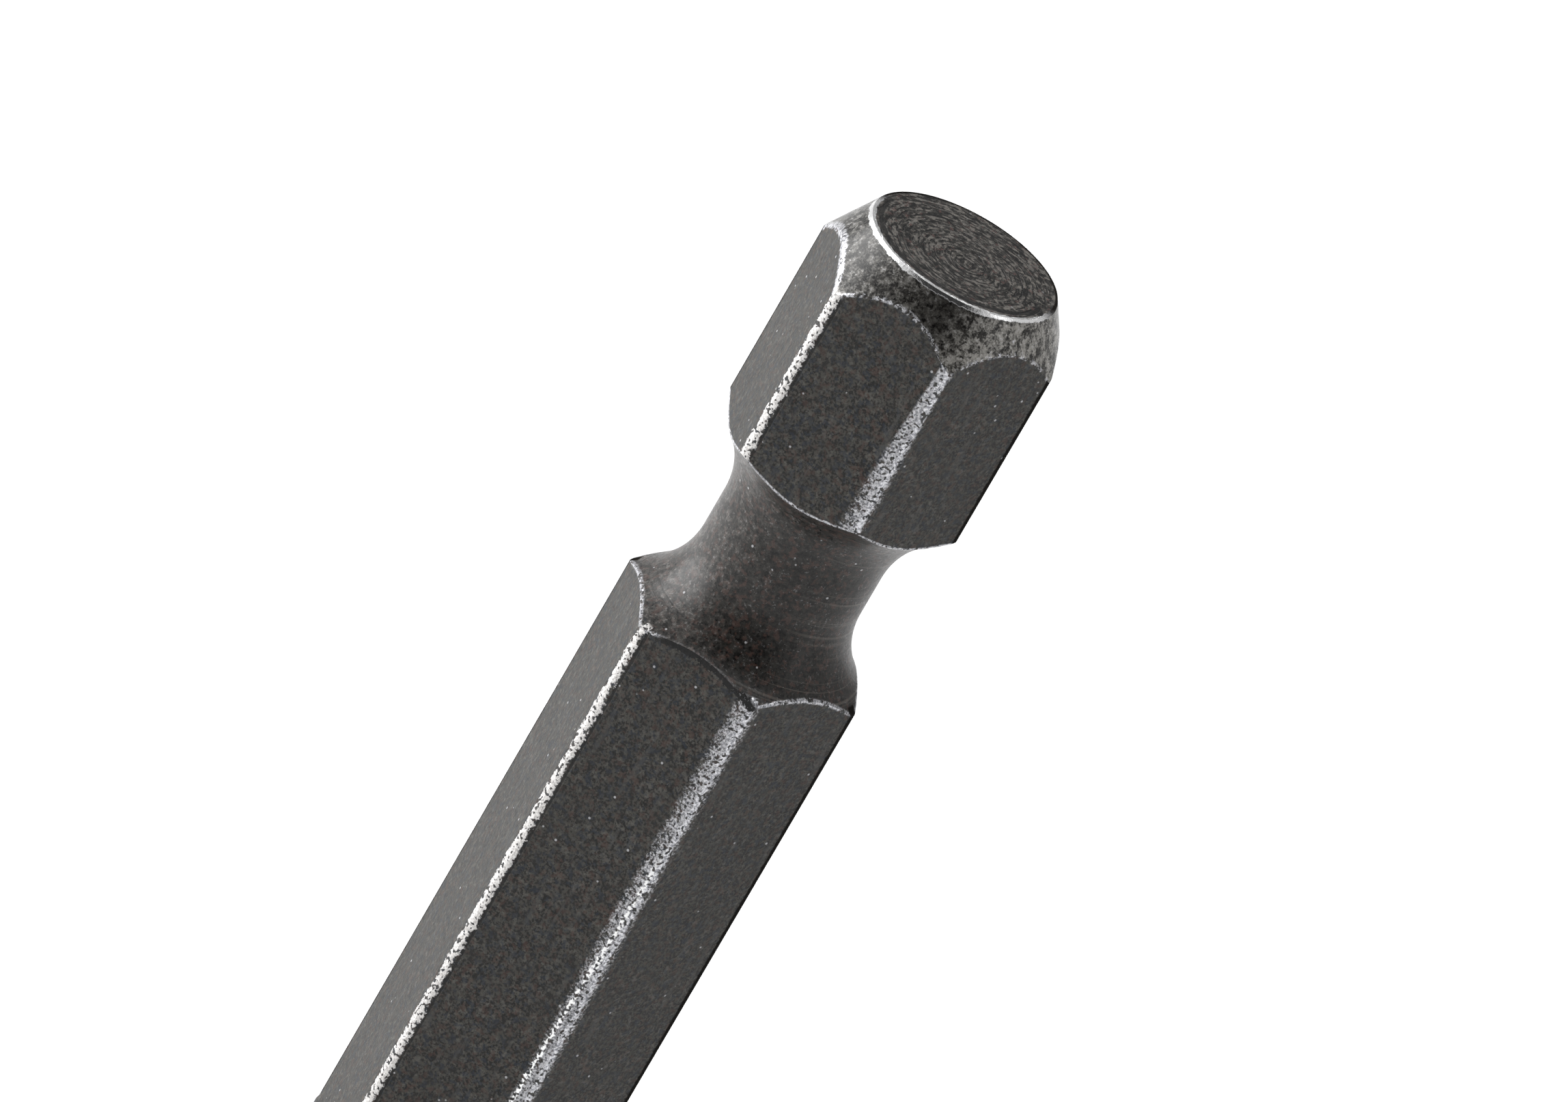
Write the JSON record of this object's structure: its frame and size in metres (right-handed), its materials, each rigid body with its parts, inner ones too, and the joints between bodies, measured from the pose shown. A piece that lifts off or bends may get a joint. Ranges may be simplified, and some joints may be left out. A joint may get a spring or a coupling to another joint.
{
  "type": "automatic centre punch",
  "caption": "Spring-driven automatic centre punch with a hex drive shank, knurled barrel and cap, lock ring and a replaceable hardened point.",
  "frame": {"origin": "the working tip of the point, on the tool's axis", "axes": "+Z along the axis from the point to the shank's end face; +X through one corner of the hex"},
  "size_m": [0.0166, 0.0166, 0.148],
  "materials": {
    "phosphate_steel": "dark phosphate, satin, worn bright along the edges",
    "black_oxide": "black oxide, oiled, knurled",
    "ground_steel": "turned and ground, satin",
    "hardened_steel": "hardened and tempered, fine grinding marks",
    "spring_steel": "drawn wire, dull",
    "bronze": "sintered bronze, matt",
    "seal_rubber": "matt black nitrile"
  },
  "bodies": {
    "shank": {"drive_shank": "phosphate_steel", "shank_pin": "ground_steel", "adjusting_cap": "black_oxide"},
    "seat": {"thrust_washer": "bronze", "spring_seat": "ground_steel", "main_spring": "spring_steel"},
    "barrel": {"barrel": "black_oxide", "nose_seal": "seal_rubber", "nose_housing": "black_oxide", "nose_bush": "bronze", "nose_wiper": "seal_rubber", "hammer_stop": "ground_steel", "return_spring": "spring_steel"},
    "washer": {"lock_washer": "ground_steel"},
    "ring": {"lock_ring": "black_oxide"},
    "hammer": {"hammer": "ground_steel", "trip_spring": "spring_steel"},
    "trip": {"trip_block": "hardened_steel"},
    "plunger": {"plunger": "ground_steel", "point_screw": "black_oxide", "punch_point": "hardened_steel"}
  },
  "joints": [
    {"name": "impact_turn", "type": "hinge", "parent": "shank", "child": "seat", "pos_m": [0, 0, 0.104], "axis": [0, 0, -1], "range_deg": [0, 1080]},
    {"name": "impact_advance", "type": "slide", "parent": "seat", "child": "barrel", "axis": [0, 0, -1], "range_m": [0, 0.003], "deforming": ["main_spring"]},
    {"name": "ring_advance", "type": "slide", "parent": "barrel", "child": "washer", "axis": [0, 0, -1], "range_m": [0, 0.001]},
    {"name": "ring_turn", "type": "hinge", "parent": "washer", "child": "ring", "pos_m": [0, 0, 0.09], "axis": [0, 0, -1], "range_deg": [0, 360]},
    {"name": "point_press", "type": "slide", "parent": "barrel", "child": "plunger", "axis": [0, 0, 1], "range_m": [0, 0.008], "stiffness_N_per_m": 800, "springref_m": -0.006, "deforming": ["return_spring", "main_spring"]},
    {"name": "hammer_lift", "type": "slide", "parent": "barrel", "child": "hammer", "axis": [0, 0, 1], "range_m": [0, 0.008]},
    {"name": "trip_shift", "type": "slide", "parent": "hammer", "child": "trip", "axis": [-1, 0, 0], "range_m": [0, 0.0008], "deforming": ["trip_spring"]}
  ],
  "couplings": [
    {"joint": "impact_turn", "follows": "impact_advance", "rad_per_m": 6283.2},
    {"joint": "ring_turn", "follows": "ring_advance", "rad_per_m": 6283.2},
    {"joint": "hammer_lift", "follows": "point_press", "ratio": 1},
    {"joint": "trip_shift", "follows": "point_press", "ratio": 0.1}
  ]
}
